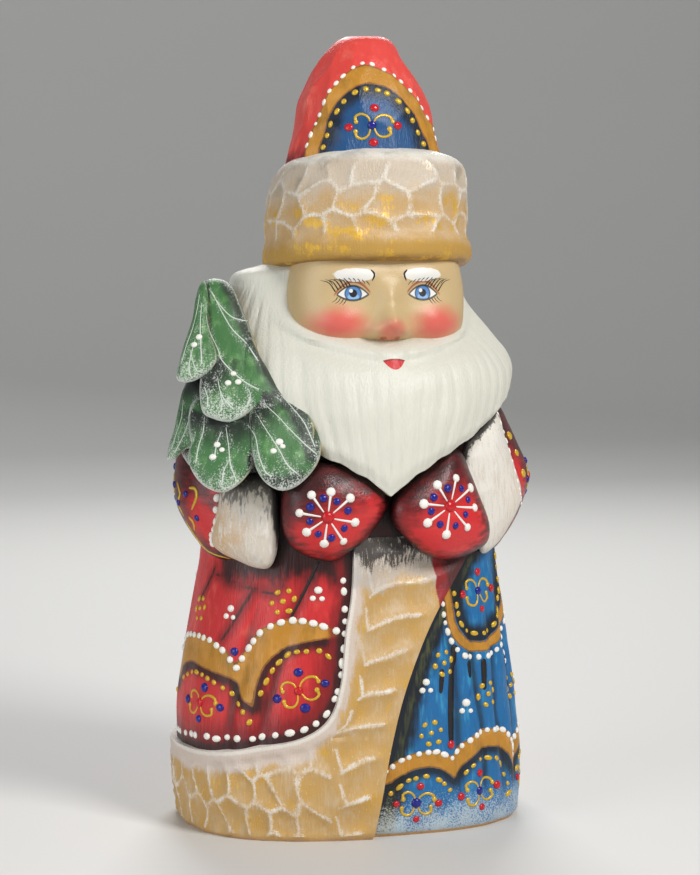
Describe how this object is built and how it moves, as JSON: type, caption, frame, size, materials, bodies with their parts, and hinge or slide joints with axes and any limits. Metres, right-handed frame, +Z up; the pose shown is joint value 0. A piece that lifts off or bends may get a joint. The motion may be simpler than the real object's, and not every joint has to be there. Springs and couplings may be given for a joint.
{
  "type": "carved santa figure",
  "caption": "Carved wooden santa figure with a fur-banded hat, a broad beard, mittened hands and a small fir tree, painted with folk patterns; stands on its flat base.",
  "frame": {"origin": "middle of the flat underside, where the figure stands", "axes": "+Z up along the figure; the face and the coat's opening look along -Y; +X is to the viewer's right when facing it"},
  "size_m": [0.0838, 0.0617, 0.17],
  "materials": {
    "painted_limewood": "hand-painted, satin varnish"
  },
  "bodies": {
    "root": {"carved_figure": "painted_limewood"}
  },
  "joints": []
}
